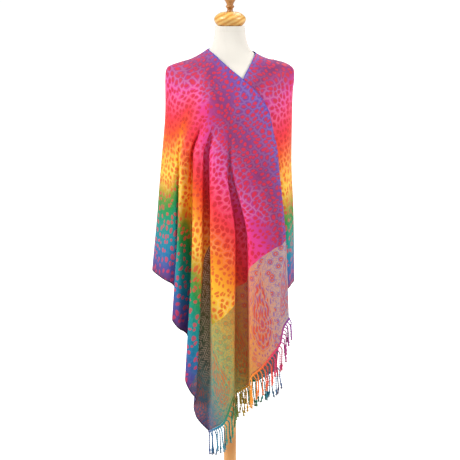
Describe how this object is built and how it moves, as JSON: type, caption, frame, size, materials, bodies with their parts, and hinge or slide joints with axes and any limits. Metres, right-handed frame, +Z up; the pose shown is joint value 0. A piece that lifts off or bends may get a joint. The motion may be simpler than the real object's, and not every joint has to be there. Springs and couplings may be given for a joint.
{
  "type": "fringed pashmina shawl on a dress form",
  "caption": "Long fringed shawl worn round the shoulders of a dress form, one end crossed over the other in front, on a turned pole with a round base.",
  "frame": {"origin": "floor under the middle of the round base, on the pole's axis", "axes": "+Z up, -Y the way the form faces, +X to the viewer's right of the front"},
  "size_m": [0.4017, 0.33, 1.636],
  "materials": {
    "form_cover": "plain cream jersey, drawn smooth",
    "cap_wood": "golden varnish over wide grain",
    "finial_wood": "darker brown varnish",
    "stand_wood": "warm brown varnish",
    "shawl_cloth": "soft jacquard weave with a low sheen, its colour changing from purple over pink, orange, yellow and green to blue",
    "fringe_yarn": "twisted and knotted warp yarns"
  },
  "bodies": {
    "root": {"torso_form": "form_cover", "neck_cap": "cap_wood", "finial": "finial_wood", "pole": "stand_wood", "base": "stand_wood", "shawl_back": "shawl_cloth", "shawl_over_front": "shawl_cloth", "shawl_under_front": "shawl_cloth", "fringe_over": "fringe_yarn", "fringe_under": "fringe_yarn"}
  },
  "joints": []
}
